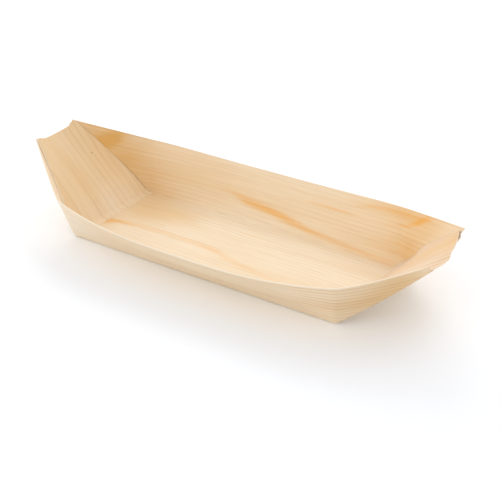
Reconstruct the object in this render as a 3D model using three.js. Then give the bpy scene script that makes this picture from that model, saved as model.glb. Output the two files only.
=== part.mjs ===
// Boat dish folded from one sheet of pine veneer.
//
// The sheet has a flat floor and two side strips. At each end it bends up, and the spare veneer at
// each corner is laid back behind the end as a pleat, glued there. A second, smaller piece of veneer
// is glued inside each end, over the mouths of the pleats.
//
// Frame: millimetres, +X along the dish, +Z up, origin on the underside in the middle of the whole dish.
import * as THREE from "three";
import { mergeVertices } from "three/addons/utils/BufferGeometryUtils.js";

// Driving dimensions: the sheet
const FLOOR_LENGTH = 162; // between the two end folds
const FLOOR_WIDTH = 62; // between the two side folds
const SIDE_STRIP = 31; // from a side fold to the rim
const VENEER = 0.6; // thickness of the sheet
const MID_LEAN = 39.7; // degrees a side leans out at the middle of the dish
const CORNER_LEAN = 23.6; // degrees a side leans out at the end folds
const LEAN_POWER = 2.76; // how late the lean changes along the side
const SIDE_FOLD_RADIUS = 1.6; // middle of the veneer, at the side folds and the corner ridges
const END_BEND_RADIUS = 4; // middle of the veneer, at the end folds

// Driving dimensions: the two ends
const LEFT_END_STRIP = 52; // from the end fold to the sheet's edge, left end
const LEFT_SLOPE = 48.8; // degrees the end rises from the floor
const LEFT_TAPER = 16.1; // degrees each corner ridge turns in
const LEFT_BOW = 2.5; // how far the middle of the sheet's edge bellies out
const LEFT_SWEEP = 6; // length of rim that runs on past the end fold before it turns in
const RIGHT_END_STRIP = 52;
const RIGHT_SLOPE = 44.2;
const RIGHT_TAPER = 14.4;
const RIGHT_BOW = 2;
const RIGHT_SWEEP = 10;
const TIP_WIDTH = 2.2; // side strip left outside the ridge at the sheet's edge
const TIP_RISE = 60; // degrees the side strip rises from the end's plane at the tip

// Driving dimensions: pleats, patches and glue
const PLEAT_START = 12; // from the end fold to where a pleat lies fully stacked
const PLEAT_AIR = 0.3; // between the two layers of a pleat
const PLEAT_MEET_GAP = 0.6; // between the two pleats behind an end
const PLEAT_SINK = 0.6; // how far the pleats sink below the plane of the end, away from the corner
const PLEAT_WEB = 0.06; // veneer that closes a pleat at the corner of the floor
const PLEAT_GLUE_FROM = 0.45; // rows of the end strip with glue on the pleats, as shares of its length
const PLEAT_GLUE_TO = 0.9;
const PLEAT_GLUE_INSET = 0.15; // share of a pleat's width kept clear of glue at each of its folds
const GLUE_THICKNESS = 0.1;
const GLUE_CLEARANCE = 0.1; // between glue and the veneer on each side of it
const PATCH_THICKNESS = 0.5;
const PATCH_FLOOR_GAP = 1.2; // from a patch's bottom corners to the side folds
const PATCH_OVERHANG = 1; // how far a patch covers the corner ridges
const LEFT_PATCH_ON_FLOOR = 3.2; // how far the patch reaches in over the floor, past the end bend
const LEFT_PATCH_TOP = 55.7; // middle of the patch's top edge, from the end fold
const LEFT_PATCH_TURN = 1; // degrees the top edge is turned towards the near side
const RIGHT_PATCH_ON_FLOOR = 0.6;
const RIGHT_PATCH_TOP = 57.6;
const RIGHT_PATCH_TURN = 12;
const GLUE_MARGIN = 2.5; // from the edge of a patch to its glue

// Mesh steps
const SIDE_STEPS = 3;
const FOLD_STEPS = 2;
const LAYER_STEPS = 5;
const PANEL_STEPS = 6;
const FLOOR_ROWS = 6;
const END_ROWS = 6;
const GLUE_ROWS = 5;
const RIM_STEP = 1; // length of rim over which its direction is taken
const SAME_POINT = 1e-6; // corners of a face closer than this are one corner
const WELD = 1e-4; // points closer than this are joined

const radians = THREE.MathUtils.degToRad;
const lerp = THREE.MathUtils.lerp;
const HALF_LENGTH = FLOOR_LENGTH / 2;
const HALF_WIDTH = FLOOR_WIDTH / 2;
const HALF_VENEER = VENEER / 2;
const GLUE_SPACE = GLUE_THICKNESS + 2 * GLUE_CLEARANCE;
const LAYER_2_HEIGHT = VENEER + PLEAT_AIR;
const PANEL_HEIGHT = LAYER_2_HEIGHT + VENEER + GLUE_SPACE;
const PLEAT_FOLD_RADIUS = LAYER_2_HEIGHT / 2;
const ROOT_FOLD_RADIUS = (PANEL_HEIGHT - LAYER_2_HEIGHT) / 2;
const UP = new THREE.Vector3(0, 0, 1);

// A point or direction on an end is (along the slope, across, out of the surface). One that lies in
// the sheet's own plane has only the first two.
const inPlane = (along, across) => new THREE.Vector3(along, across, 0);

// Share of a pleat's full stack that is reached at a distance along the slope
const stacked = (along) => THREE.MathUtils.clamp(along / PLEAT_START, 0, 1);

// Lean of the side at a distance x from the middle of the dish, in radians
function leanAt(x) {
  const share = Math.abs(x) / HALF_LENGTH;
  return radians(lerp(MID_LEAN, CORNER_LEAN, share ** LEAN_POWER));
}

// Rim of the far side strip beside the floor, before the end fold
function floorRim(x) {
  const lean = leanAt(x);
  const across = HALF_WIDTH + SIDE_STRIP * Math.sin(lean);
  return new THREE.Vector3(x, across, HALF_VENEER + SIDE_STRIP * Math.cos(lean));
}

// One end of the dish. direction is +1 towards +X and -1 towards -X.
class End {
  constructor(direction, { strip, slope, taper, bow, sweep }) {
    Object.assign(this, { direction, strip, bow, sweep });
    this.slope = radians(slope);
    this.taper = radians(taper);
    this.bendReach = END_BEND_RADIUS * Math.tan(this.slope / 2);
    // On the flat sheet the ridge leaves the corner of the floor and meets the edge near the tip
    const ridgeAcross = SIDE_STRIP - TIP_WIDTH;
    const ridgeLength = Math.hypot(strip, ridgeAcross);
    const pleatAngle = (Math.atan2(ridgeAcross, strip) + this.taper) / 2;
    this.corner = inPlane(0, HALF_WIDTH);
    this.ridgeWay = inPlane(Math.cos(this.taper), -Math.sin(this.taper));
    this.ridgeOut = inPlane(Math.sin(this.taper), Math.cos(this.taper));
    this.ridgeEnd = this.ridgeWay.clone().multiplyScalar(ridgeLength).add(this.corner);
    this.rootEnd = inPlane(strip, HALF_WIDTH - strip * Math.tan(this.taper));
    // The pleat's fold runs from the corner of the floor to the middle of the end
    const foldAcross = PLEAT_MEET_GAP / 2 + PLEAT_FOLD_RADIUS + HALF_VENEER;
    const foldAlong = (HALF_WIDTH - foldAcross) / Math.tan(this.taper + pleatAngle);
    this.foldEnd = inPlane(foldAlong, foldAcross);
    const foldWay = this.foldEnd.clone().sub(this.corner).normalize();
    this.foldIn = inPlane(foldWay.y, -foldWay.x);
    this.rim = this.rimCurve();
  }

  // Half the width between the corner ridges
  ridgeAcross(along) {
    return HALF_WIDTH - Math.max(along, 0) * Math.tan(this.taper);
  }

  // The end's own directions at a distance along the slope: up the slope, across, out of the surface
  axes(along) {
    const turned = THREE.MathUtils.clamp((along / this.bendReach + 1) / 2, 0, 1) * this.slope;
    const way = new THREE.Vector3(this.direction * Math.cos(turned), 0, Math.sin(turned));
    const out = new THREE.Vector3(-this.direction * Math.sin(turned), 0, Math.cos(turned));
    return { turned, way, across: new THREE.Vector3(0, 1, 0), out };
  }

  // Place in the dish of a point given along the slope, across, and out of the surface
  place({ x: along, y: across, z: height }) {
    const { turned, out } = this.axes(along);
    const reach = this.bendReach;
    let x = HALF_LENGTH + along;
    let z = 0;
    if (along >= reach) {
      x = HALF_LENGTH + along * Math.cos(this.slope);
      z = along * Math.sin(this.slope);
    } else if (along > -reach) {
      x = HALF_LENGTH - reach + END_BEND_RADIUS * Math.sin(turned);
      z = END_BEND_RADIUS * (1 - Math.cos(turned));
    }
    const belly = 1 - Math.min(across / this.ridgeAcross(along), 1) ** 2;
    const bow = (this.bow * Math.max(along, 0) * belly) / this.strip;
    const point = new THREE.Vector3(this.direction * x, across, z + HALF_VENEER);
    return point.addScaledVector(out, height - bow - PLEAT_SINK * stacked(along));
  }

  // Direction in the dish turned into the end's own directions
  toEnd(vector, along) {
    const { way, across, out } = this.axes(along);
    return new THREE.Vector3(vector.dot(way), vector.dot(across), vector.dot(out));
  }

  // Rim of the side strip past the end fold, from the end of the floor's rim to the tip
  rimCurve() {
    const start = floorRim(HALF_LENGTH);
    const run = start.clone().sub(floorRim(HALF_LENGTH - 1)).normalize();
    const middle = start.clone().addScaledVector(run, this.sweep);
    const rise = radians(TIP_RISE);
    const tip = this.ridgeEnd.clone().addScaledVector(this.ridgeOut, TIP_WIDTH * Math.cos(rise));
    tip.z += TIP_WIDTH * Math.sin(rise);
    for (const point of [start, middle]) point.x *= this.direction;
    return new THREE.QuadraticBezierCurve3(start, middle, this.place(tip));
  }

  // Rim point beside a row of the sheet, row being the distance past the end fold
  rimAt(row) {
    if (row > 0) return this.rim.getPointAt(Math.min(row / this.strip, 1));
    const point = floorRim(HALF_LENGTH + row);
    point.x *= this.direction;
    return point;
  }

  rimWay(row) {
    const ahead = Math.min(row + RIM_STEP, this.strip);
    return this.rimAt(ahead).sub(this.rimAt(ahead - RIM_STEP)).normalize();
  }

  // Point of a straight fold line at a row of the sheet
  onLine(end, row) {
    return this.corner.clone().lerp(end, row / this.strip);
  }
}

// Two faces of the veneer at a point of its middle surface, in the end's own directions
function faces(middle, inward) {
  return {
    outer: middle.clone().addScaledVector(inward, -HALF_VENEER),
    inner: middle.clone().addScaledVector(inward, HALF_VENEER),
  };
}

// Round fold about a line: from below its centre, past the side given, to above it
function roundFold(centre, side, radius, innerFaceInside) {
  const list = [];
  for (let i = 0; i <= FOLD_STEPS; i += 1) {
    const angle = (Math.PI * i) / FOLD_STEPS;
    const spoke = side.clone().multiplyScalar(Math.sin(angle));
    spoke.addScaledVector(UP, -Math.cos(angle));
    const middle = centre.clone().addScaledVector(spoke, radius);
    list.push(faces(middle, innerFaceInside ? spoke.clone().negate() : spoke));
  }
  return list;
}

// Straight layer between two folds, without its two ends
function layer(from, to, inward) {
  const list = [];
  for (let i = 1; i < LAYER_STEPS; i += 1) {
    list.push(faces(from.clone().lerp(to, i / LAYER_STEPS), inward));
  }
  return list;
}

// The far half of one row of the sheet, from the rim to the middle line, as pairs of face points.
// On the floor the pleat has no width. There its points lie on the outer face, and where openMouth
// is set its inner points lie there too, so that the pleat's mouth starts at the corner.
function halfRow(end, row, openMouth) {
  const folded = row > 0;
  const ridge = folded ? end.onLine(end.ridgeEnd, row) : inPlane(row, HALF_WIDTH);
  const ridgeWay = folded ? end.ridgeWay : inPlane(1, 0);
  const ridgeOut = folded ? end.ridgeOut : inPlane(0, 1);
  const rim = end.rimAt(row);

  // Bend between the side strip and what follows it
  const climb = end.toEnd(rim.clone().sub(end.place(ridge)), ridge.x);
  climb.addScaledVector(ridgeWay, -climb.dot(ridgeWay)).normalize();
  const turn = Math.atan2(climb.z, climb.dot(ridgeOut));
  const reach = SIDE_FOLD_RADIUS * Math.tan(turn / 2);
  const bend = [];
  for (let i = 0; i <= FOLD_STEPS; i += 1) {
    const angle = turn * (1 - i / FOLD_STEPS);
    const inward = ridgeOut.clone().multiplyScalar(-Math.sin(angle));
    inward.addScaledVector(UP, Math.cos(angle));
    const centre = ridge.clone().addScaledVector(ridgeOut, -reach);
    centre.addScaledVector(UP, SIDE_FOLD_RADIUS);
    bend.push(faces(centre.addScaledVector(inward, -SIDE_FOLD_RADIUS), inward));
  }

  // What follows it: the pleat's two layers and their folds, or nothing beside the floor
  let pleat = [];
  let edge = bend.at(-1);
  if (folded) {
    const fold = end.onLine(end.foldEnd, row);
    const root = end.onLine(end.rootEnd, row);
    const foldRadius = PLEAT_FOLD_RADIUS * stacked(fold.x);
    const layer2Start = fold.clone().setZ(2 * foldRadius);
    const layer2End = root.clone().setZ(LAYER_2_HEIGHT);
    const bendEnd = ridge.clone().addScaledVector(ridgeOut, -reach);
    const foldCentre = fold.clone().setZ(foldRadius);
    const rootCentre = root.clone().setZ(LAYER_2_HEIGHT + ROOT_FOLD_RADIUS);
    pleat = [
      ...layer(bendEnd, fold, UP),
      ...roundFold(foldCentre, end.foldIn, foldRadius, true),
      ...layer(layer2Start, layer2End, UP.clone().negate()),
      ...roundFold(rootCentre, end.ridgeOut, ROOT_FOLD_RADIUS, false),
    ];
    edge = pleat.pop();
  } else {
    const count = 2 * (LAYER_STEPS - 1) + 2 * FOLD_STEPS + 1;
    const inner = openMouth ? edge.outer.clone().setZ(edge.outer.z + PLEAT_WEB) : edge.inner;
    pleat = Array.from({ length: count }, () => ({ outer: edge.outer, inner }));
  }

  // The floor or the end panel, out to the middle line
  const panel = [];
  for (let i = 0; i <= PANEL_STEPS; i += 1) {
    const share = 1 - i / PANEL_STEPS;
    const outer = edge.outer.clone().setY(edge.outer.y * share);
    const inner = edge.inner.clone().setY(edge.inner.y * share);
    panel.push({ outer, inner });
  }

  const sheet = [...bend, ...pleat, ...panel].map(({ outer, inner }) => ({
    outer: end.place(outer),
    inner: end.place(inner),
  }));

  // The side strip, straight from the bend to the rim
  const foot = sheet[0].outer.clone().lerp(sheet[0].inner, 1 / 2);
  const footInward = sheet[0].inner.clone().sub(sheet[0].outer).normalize();
  const ruling = rim.clone().sub(foot).normalize();
  const rimInward = ruling.cross(end.rimWay(row)).normalize();
  if (rimInward.dot(footInward) < 0) rimInward.negate();
  const strip = [];
  for (let i = 0; i < SIDE_STEPS; i += 1) {
    const share = i / SIDE_STEPS;
    const inward = rimInward.clone().lerp(footInward, share).normalize();
    strip.push(faces(rim.clone().lerp(foot, share), inward));
  }
  return [...strip, ...sheet];
}

// A whole row of the sheet, from the far rim to the near one
function fullRow(end, row, openMouth = false) {
  const far = halfRow(end, row, openMouth);
  const mirror = (point) => point.clone().setY(-point.y);
  const near = far.map(({ outer, inner }) => ({ outer: mirror(outer), inner: mirror(inner) }));
  return [...far, ...near.reverse().slice(1)];
}

// Closed mesh from four-cornered faces. A corner that repeats its neighbour is dropped.
function closedGeometry(quads) {
  const points = [];
  for (const [a, b, c, d] of quads) {
    const split = a.distanceToSquared(c) <= b.distanceToSquared(d);
    const triangles = split ? [[a, b, c], [a, c, d]] : [[a, b, d], [b, c, d]];
    for (const triangle of triangles) {
      const [p, q, r] = triangle;
      const flat = [[p, q], [q, r], [r, p]].some(([s, t]) => s.distanceTo(t) < SAME_POINT);
      if (!flat) points.push(p, q, r);
    }
  }
  return mergeVertices(new THREE.BufferGeometry().setFromPoints(points), WELD);
}

// Faces between two rows of a slab whose rows are lists of outer and inner points
function stripQuads(rowA, rowB) {
  const quads = [];
  for (let i = 0; i + 1 < rowA.length; i += 1) {
    const [a, b, c, d] = [rowA[i], rowA[i + 1], rowB[i + 1], rowB[i]];
    quads.push([d.outer, c.outer, b.outer, a.outer]);
    quads.push([a.inner, b.inner, c.inner, d.inner]);
  }
  const first = [rowA[0].outer, rowA[0].inner, rowB[0].inner, rowB[0].outer];
  const last = [rowA.at(-1).inner, rowA.at(-1).outer, rowB.at(-1).outer, rowB.at(-1).inner];
  return [...quads, first, last];
}

// Cut edge that closes a slab at its first or last row
function edgeQuads(row, isLast) {
  const quads = [];
  for (let i = 0; i + 1 < row.length; i += 1) {
    const [a, b] = isLast ? [row[i], row[i + 1]] : [row[i + 1], row[i]];
    quads.push([a.outer, a.inner, b.inner, b.outer]);
  }
  return quads;
}

// Slab through pairs of rows, each pair being the two sides of one strip
function slabGeometry(strips) {
  const quads = strips.flatMap(([rowA, rowB]) => stripQuads(rowA, rowB));
  quads.push(...edgeQuads(strips[0][0], false), ...edgeQuads(strips.at(-1)[1], true));
  return closedGeometry(quads);
}

const evenly = (from, to, steps) =>
  Array.from({ length: steps + 1 }, (_, i) => lerp(from, to, i / steps));

const pairUp = (rows) => rows.slice(1).map((row, i) => [rows[i], row]);

// Strips of the sheet from the middle of the dish up to the edge of one end
function sheetStrips(end) {
  const floor = [...evenly(-HALF_LENGTH, -end.bendReach, FLOOR_ROWS), 0];
  const rise = evenly(PLEAT_START, end.strip, END_ROWS);
  return [
    ...pairUp(floor.map((row) => fullRow(end, row))),
    ...pairUp([fullRow(end, 0, true), ...rise.map((row) => fullRow(end, row))]),
  ];
}

function hullGeometry(left, right) {
  const towardsMiddle = sheetStrips(left).map(([rowA, rowB]) => [rowB, rowA]);
  return slabGeometry([...towardsMiddle.reverse(), ...sheetStrips(right)]);
}

// Layer laid on an end: pointAt(row share, across share) gives a point along and across the end, and
// the slab runs from bottom to top above heightAt(along)
function laidSlab(end, rowShares, acrossShares, pointAt, heightAt, bottom, top) {
  const rows = rowShares.map((rowShare) =>
    acrossShares.map((acrossShare) => {
      const point = pointAt(rowShare, acrossShare);
      const base = heightAt(point.x);
      return {
        outer: end.place(point.clone().setZ(base + bottom)),
        inner: end.place(point.clone().setZ(base + top)),
      };
    }),
  );
  const ordered = end.direction > 0 ? rows : rows.reverse();
  return slabGeometry(pairUp(ordered));
}

// Half the width of a patch, which stands clear of the side folds and covers the corner ridges
function patchAcross(end, along) {
  return end.ridgeAcross(along) + lerp(-PATCH_FLOOR_GAP, PATCH_OVERHANG, stacked(along));
}

// Rows of a patch. They share the sheet's fold lines, so that patch, glue and sheet bend together.
// Each row gives its distance along the slope at a distance across.
function patchRows(end, { onFloor, top, turn }) {
  const slant = Math.tan(radians(turn));
  const bottomRows = [-end.bendReach - onFloor, -end.bendReach, 0].map((along) => () => along);
  const slopeRows = evenly(0, 1, END_ROWS).map((share) => (across) => {
    return lerp(PLEAT_START, top - slant * across, share);
  });
  return [...bottomRows.slice(onFloor > 0 ? 0 : 1), ...slopeRows];
}

// Patch or glue film over the end. margin is how far its sides stand in from the patch's own.
function patchSlab(end, outline, margin, bottom, thickness) {
  const rows = patchRows(end, outline);
  const shares = evenly(1, -1, 2 * PANEL_STEPS);
  const pointAt = (rowIndex, share) => {
    const along = rows[rowIndex](share * patchAcross(end, outline.top));
    return inPlane(along, share * (patchAcross(end, along) - margin));
  };
  const heightAt = (along) => PANEL_HEIGHT * stacked(along);
  return laidSlab(end, [...rows.keys()], shares, pointAt, heightAt, bottom, bottom + thickness);
}

// Glue between a pleat and the back of the end, on the part of it away from all its folds
function pleatGlue(end, side) {
  const shareRange = [1 - PLEAT_GLUE_INSET, PLEAT_GLUE_INSET];
  const [first, last] = side > 0 ? shareRange : shareRange.reverse();
  const pointAt = (rowShare, acrossShare) => {
    const row = end.strip * rowShare;
    const fold = end.onLine(end.foldEnd, row);
    const point = fold.lerp(end.onLine(end.rootEnd, row), acrossShare);
    return point.setY(side * point.y);
  };
  const rows = evenly(PLEAT_GLUE_FROM, PLEAT_GLUE_TO, GLUE_ROWS);
  const shares = evenly(first, last, LAYER_STEPS);
  const bottom = LAYER_2_HEIGHT + HALF_VENEER + GLUE_CLEARANCE;
  return laidSlab(end, rows, shares, pointAt, () => 0, bottom, bottom + GLUE_THICKNESS);
}

const pine = new THREE.MeshStandardMaterial({ color: 0xf3dcb8, roughness: 0.7, metalness: 0 });
const patchPine = new THREE.MeshStandardMaterial({ color: 0xf0d2ab, roughness: 0.7, metalness: 0 });
const glue = new THREE.MeshStandardMaterial({ color: 0xe8dcc0, roughness: 0.4, metalness: 0 });

const left = new End(-1, {
  strip: LEFT_END_STRIP,
  slope: LEFT_SLOPE,
  taper: LEFT_TAPER,
  bow: LEFT_BOW,
  sweep: LEFT_SWEEP,
});
const right = new End(1, {
  strip: RIGHT_END_STRIP,
  slope: RIGHT_SLOPE,
  taper: RIGHT_TAPER,
  bow: RIGHT_BOW,
  sweep: RIGHT_SWEEP,
});
const dish = new THREE.Group();

function addPiece(name, geometry, material) {
  const piece = new THREE.Mesh(geometry, material);
  piece.name = name;
  dish.add(piece);
}

addPiece("hull_sheet", hullGeometry(left, right), pine);

const leftPatch = { onFloor: LEFT_PATCH_ON_FLOOR, top: LEFT_PATCH_TOP, turn: LEFT_PATCH_TURN };
const rightPatch = { onFloor: RIGHT_PATCH_ON_FLOOR, top: RIGHT_PATCH_TOP, turn: RIGHT_PATCH_TURN };
const ends = [
  { name: "left", end: left, patch: leftPatch },
  { name: "right", end: right, patch: rightPatch },
];
for (const { name, end, patch } of ends) {
  const filmBottom = HALF_VENEER + GLUE_CLEARANCE;
  const patchBottom = HALF_VENEER + GLUE_SPACE;
  const filmOutline = { onFloor: 0, top: end.strip - GLUE_MARGIN, turn: 0 };
  const film = patchSlab(end, filmOutline, GLUE_MARGIN, filmBottom, GLUE_THICKNESS);
  addPiece(`${name}_end_patch`, patchSlab(end, patch, 0, patchBottom, PATCH_THICKNESS), patchPine);
  addPiece(`${name}_patch_glue`, film, glue);
  addPiece(`${name}_near_pleat_glue`, pleatGlue(end, -1), glue);
  addPiece(`${name}_far_pleat_glue`, pleatGlue(end, 1), glue);
}

// The origin moves to the middle of the whole dish
const middle = new THREE.Box3().setFromObject(dish).getCenter(new THREE.Vector3());
for (const piece of dish.children) piece.geometry.translate(-middle.x, 0, 0);

export default dish;
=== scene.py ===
# %% [markdown]
# A folded boat dish, step by step. The real dish is one sheet of sliced pine, about half a millimetre
# thick, folded like paper: a flat floor, two leaning sides and two raised ends. This lesson builds it
# from formulas with numpy and dresses it in wood grain made of shader nodes.
#
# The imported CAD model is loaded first. It fixes the size and the place of every piece.

from types import SimpleNamespace

import bpy
import numpy as np
from mathutils import Matrix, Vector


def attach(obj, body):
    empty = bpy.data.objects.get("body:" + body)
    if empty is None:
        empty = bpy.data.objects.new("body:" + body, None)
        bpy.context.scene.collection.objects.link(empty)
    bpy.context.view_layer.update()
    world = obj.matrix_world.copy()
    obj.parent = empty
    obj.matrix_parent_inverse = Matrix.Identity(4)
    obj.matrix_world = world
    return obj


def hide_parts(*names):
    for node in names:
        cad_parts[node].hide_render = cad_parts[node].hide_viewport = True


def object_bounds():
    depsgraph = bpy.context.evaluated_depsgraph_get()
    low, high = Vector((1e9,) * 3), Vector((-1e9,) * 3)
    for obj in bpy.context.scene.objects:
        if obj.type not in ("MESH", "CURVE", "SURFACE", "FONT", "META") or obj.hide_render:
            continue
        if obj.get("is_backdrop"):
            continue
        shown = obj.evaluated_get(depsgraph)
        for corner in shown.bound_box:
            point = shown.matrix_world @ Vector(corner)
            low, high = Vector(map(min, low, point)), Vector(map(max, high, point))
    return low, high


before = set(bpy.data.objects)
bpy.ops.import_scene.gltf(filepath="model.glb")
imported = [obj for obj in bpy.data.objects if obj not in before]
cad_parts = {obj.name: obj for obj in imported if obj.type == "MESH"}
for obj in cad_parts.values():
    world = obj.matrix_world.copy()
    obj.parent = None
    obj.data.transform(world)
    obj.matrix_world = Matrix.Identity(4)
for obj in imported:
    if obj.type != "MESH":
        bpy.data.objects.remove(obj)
cad_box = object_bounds()
print("CAD nodes:", sorted(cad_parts))

# %% [markdown]
# The sizes below are those of the CAD model, in millimetres and degrees. Working in millimetres keeps the
# numbers easy to read, and everything is turned into metres when a mesh is made.

# %% Sizes of the sheet
MM = 0.001
FLOOR_LENGTH = 162.0
FLOOR_WIDTH = 62.0
SIDE_STRIP = 31.0
VENEER = 0.6
MID_LEAN = np.radians(39.7)
CORNER_LEAN = np.radians(23.6)
LEAN_POWER = 2.76
SIDE_FOLD_RADIUS = 1.6
END_BEND_RADIUS = 4.0
HALF_LENGTH = FLOOR_LENGTH / 2
HALF_WIDTH = FLOOR_WIDTH / 2
HALF_VENEER = VENEER / 2
SHEET_HALF_WIDTH = HALF_WIDTH + SIDE_STRIP
END_STRIP = 52.0
EDGE_BAND = 0.15

# %% [markdown]
# Where the sheet turns up at an end, spare veneer is left over at both corners. It is laid flat behind the
# end as a pleat of two layers. The heights below add up from the outside: two layers with a little air
# between them, the glue, and the end panel on top. Named sums keep the stack right if one thickness changes.

# %% Sizes of the pleats, patches and glue
TIP_WIDTH = 2.2
TIP_RISE = np.radians(60)
PLEAT_START = 12.0
PLEAT_AIR = 0.3
PLEAT_MEET_GAP = 0.6
PLEAT_SINK = 0.6
PLEAT_WEB = 0.06
PLEAT_GLUE_ROWS = (0.45, 0.9)
PLEAT_GLUE_INSET = 0.15
GLUE_THICKNESS = 0.1
GLUE_CLEARANCE = 0.1
GLUE_MARGIN = 2.5
PATCH_THICKNESS = 0.5
PATCH_FLOOR_GAP = 1.2
GLUE_SPACE = GLUE_THICKNESS + 2 * GLUE_CLEARANCE
LAYER_2_HEIGHT = VENEER + PLEAT_AIR
PANEL_HEIGHT = LAYER_2_HEIGHT + VENEER + GLUE_SPACE
PLEAT_FOLD_RADIUS = LAYER_2_HEIGHT / 2
ROOT_FOLD_RADIUS = (PANEL_HEIGHT - LAYER_2_HEIGHT) / 2
print(f"flat sheet {FLOOR_LENGTH + 2 * END_STRIP:.0f} by {2 * SHEET_HALF_WIDTH:.0f} mm")

# %% [markdown]
# Small vector helpers come next. Points are kept in arrays whose last axis holds the three coordinates,
# so one line of numpy moves a whole surface.

# %% Vector helpers
UP = np.array([0.0, 0.0, 1.0])
MIRROR_ACROSS = np.array([1.0, -1.0, 1.0])


def vec(x, y, z=0.0):
    """Stacks three coordinates, stretched to one shape, into an array of points."""
    return np.stack(np.broadcast_arrays(*(np.asarray(c, float) for c in (x, y, z))), -1)


def unit(v):
    """Vectors scaled to length one."""
    return v / np.linalg.norm(v, axis=-1, keepdims=True)


def mix(a, b, share):
    """a + (b - a) * share."""
    return a + (b - a) * share


def smooth_step(value, low, high):
    """3 t^2 - 2 t^3, where t runs from 0 at low to 1 at high."""
    t = np.clip((value - low) / (high - low), 0, 1)
    return t * t * (3 - 2 * t)


def stacked(along):
    """Share of a pleat's full stack that is reached at a distance along the slope."""
    return np.clip(along / PLEAT_START, 0, 1)


print(f"a pleat reaches its full stack {PLEAT_START} mm up the slope")

# %% [markdown]
# Each end of the boat is a slope that leaves the floor on a round bend. A point on it has three numbers
# of its own: how far along the slope it lies from the fold, how far across, and how high it stands out of
# the surface. `place` turns these into a point of the dish, so pleats, patches and glue can be laid out
# flat and then bent together with the end.

# %% The two ends
FAR = 1
NEAR = -1
TIP_OUT = TIP_WIDTH * np.cos(TIP_RISE)
TIP_UP = TIP_WIDTH * np.sin(TIP_RISE)


def corner_shape(sweep, trim=0.0, lean=0.0, out=TIP_OUT, up=TIP_UP):
    """One corner as it was folded: the rim's sweep, ridge cut short by trim, tip moved along, out and up."""
    return SimpleNamespace(sweep=sweep, trim=trim, lean=lean, out=out, up=up)


def make_end(direction, strip, slope, taper, bow, corners):
    """Folds of one end, drawn flat: the ridge turns in by the taper, and the pleat's fold halves the rest."""
    slope, taper = np.radians(slope), np.radians(taper)
    end = SimpleNamespace(direction=direction, strip=strip, slope=slope, taper=taper, bow=bow)
    end.corners, end.presses = corners, []
    end.reach = END_BEND_RADIUS * np.tan(slope / 2)
    flat_ridge = SIDE_STRIP - TIP_WIDTH
    end.ridge_length = np.hypot(strip, flat_ridge)
    pleat_angle = (np.arctan2(flat_ridge, strip) + taper) / 2
    end.corner = vec(0, HALF_WIDTH)
    end.ridge_way = vec(np.cos(taper), -np.sin(taper))
    end.ridge_out = vec(np.sin(taper), np.cos(taper))
    end.root_end = vec(strip, HALF_WIDTH - strip * np.tan(taper))
    fold_across = PLEAT_MEET_GAP / 2 + PLEAT_FOLD_RADIUS + HALF_VENEER
    end.fold_end = vec((HALF_WIDTH - fold_across) / np.tan(taper + pleat_angle), fold_across)
    way = unit(end.fold_end - end.corner)
    end.fold_in = vec(way[1], -way[0])
    return end


left_corners = {
    FAR: corner_shape(sweep=6.0, lean=1.0, out=0.1),
    NEAR: corner_shape(sweep=2.0, lean=0.7, out=1.95),
}
right_corners = {
    FAR: corner_shape(sweep=10.0, trim=4.2, lean=4.2, up=2.5),
    NEAR: corner_shape(sweep=10.0, trim=5.0, out=-0.4, up=2.3),
}
LEFT = make_end(-1, END_STRIP, slope=48.8, taper=16.1, bow=2.5, corners=left_corners)
RIGHT = make_end(1, END_STRIP, slope=44.2, taper=14.4, bow=2.0, corners=right_corners)


def ridge_across(end, along):
    """Half the width between the two corner ridges."""
    return HALF_WIDTH - np.maximum(along, 0) * np.tan(end.taper)


print(f"left end rises {np.degrees(LEFT.slope):.1f} degrees, right end {np.degrees(RIGHT.slope):.1f}")

# %% [markdown]
# No hand-folded dish is perfectly even. On this one the layers of the right end are pressed flatter in
# two places, as if a thumb had pushed them together while the glue dried. A press is a soft bump along the
# slope, on one side of the middle line, and it shrinks all heights there by a share.

# %% Pressed places
PRESS_ACROSS = (0.2, 0.9)
PAST_THE_TOP = (90.0, 99.0)
RIGHT.presses = [
    SimpleNamespace(side=FAR, starts=(1.0, 9.0), ends=(15.0, 27.0), amount=0.55),
    SimpleNamespace(side=NEAR, starts=(40.0, 53.0), ends=PAST_THE_TOP, amount=0.8),
]


def pressed(end, along, across):
    """Share of the height that is pressed away: the sum of the presses, each fading in and out."""
    share = across / ridge_across(end, along)
    total = np.zeros(np.shape(share))
    for press in end.presses:
        bump = smooth_step(along, *press.starts) * (1 - smooth_step(along, *press.ends))
        total = total + press.amount * bump * smooth_step(press.side * share, *PRESS_ACROSS)
    return total


print(f"{len(RIGHT.presses)} pressed places on the right end")

# %% [markdown]
# The end's surface is worked out in three stretches: flat floor, an arc at the fold, then the slope. Its
# middle also bellies out a little, because thin wood never stays quite flat between two glued corners.

# %% Laying points on an end
def turned_at(end, along):
    """Angle that the surface has turned up from the floor: even over the bend, the slope after it."""
    return np.clip((along / end.reach + 1) / 2, 0, 1) * end.slope


def out_of(end, along):
    """Direction out of the surface, into the dish."""
    turned = turned_at(end, along)
    return vec(-end.direction * np.sin(turned), 0, np.cos(turned))


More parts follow.
